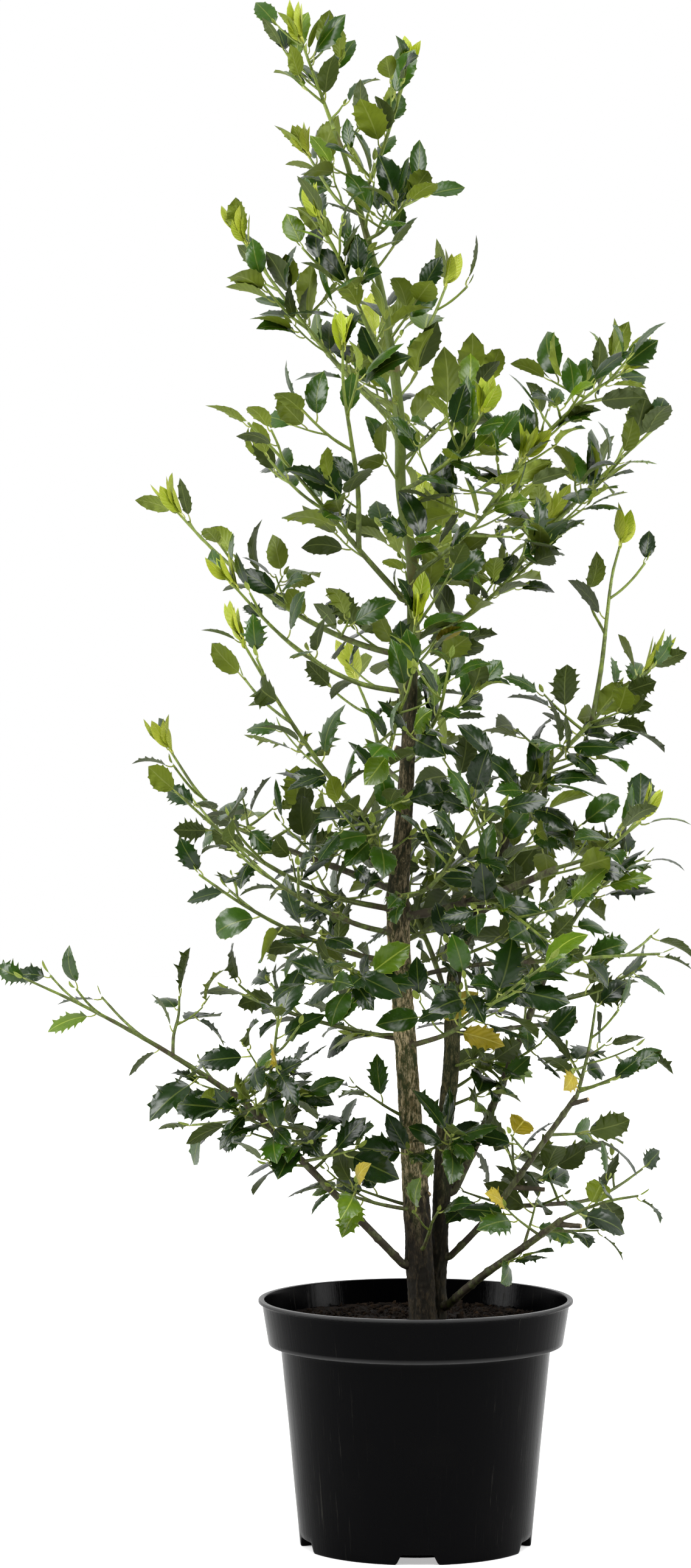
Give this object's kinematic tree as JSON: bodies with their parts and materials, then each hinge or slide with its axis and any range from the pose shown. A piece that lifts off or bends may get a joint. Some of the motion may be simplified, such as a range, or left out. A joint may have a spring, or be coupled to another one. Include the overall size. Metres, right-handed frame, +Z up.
{
  "type": "potted holly tree",
  "caption": "Young holly tree with two stems and open leafy boughs, standing in a black plastic nursery pot filled with compost.",
  "frame": {"origin": "centre of the pot's flat underside, on the ground", "axes": "+Z up along the trunk, -Y towards the front, +X to the right seen from the front"},
  "size_m": [0.7012, 0.4193, 1.56],
  "materials": {
    "pot": "satin black moulded polypropylene",
    "compost": "moist dark bark and peat compost",
    "bark": "pale fissured bark, green where young",
    "dark_bark": "dark grey-brown and olive bark",
    "foliage": "glossy dark green above, matt olive below"
  },
  "bodies": {
    "root": {"pot": "pot", "compost": "compost", "trunk": "bark", "right_stem": "dark_bark", "low_left_bough": "dark_bark", "low_right_bough": "dark_bark", "foot_bough": "dark_bark", "side_bough": "dark_bark", "right_bough": "dark_bark", "wide_bough": "dark_bark", "thin_bough": "dark_bark", "left_bough": "dark_bark", "dead_bough": "dark_bark", "top_spray": "foliage", "top_right_spray": "foliage", "top_left_spray": "foliage", "top_front_spray": "foliage", "upper_left_spray": "foliage", "upper_front_spray": "foliage", "upper_side_spray": "foliage", "upper_back_spray": "foliage", "upper_right_spray": "foliage", "fore_right_spray": "foliage", "high_left_spray": "foliage", "high_right_spray": "foliage", "high_back_spray": "foliage", "wing_right_spray": "foliage", "wing_left_spray": "foliage", "mid_left_spray": "foliage", "mid_front_spray": "foliage", "mid_back_spray": "foliage", "fan_spray": "foliage", "front_right_spray": "foliage", "left_spray": "foliage", "left_low_spray": "foliage", "front_left_spray": "foliage", "back_spray": "foliage", "left_mid_spray": "foliage", "front_spray": "foliage", "back_left_spray": "foliage", "low_left_spray": "foliage", "low_front_spray": "foliage", "fork_spray": "foliage", "crest_spray": "foliage", "far_right_spray": "foliage", "wide_spray": "foliage", "wide_low_spray": "foliage", "right_spray": "foliage", "right_back_spray": "foliage", "right_low_spray": "foliage", "thin_spray": "foliage", "low_right_spray": "foliage", "side_spray": "foliage", "side_back_spray": "foliage", "foot_spray": "foliage", "sweep_spray": "foliage", "sweep_front_spray": "foliage", "sweep_back_spray": "foliage", "foot_front_spray": "foliage", "foot_left_spray": "foliage"}
  },
  "joints": []
}
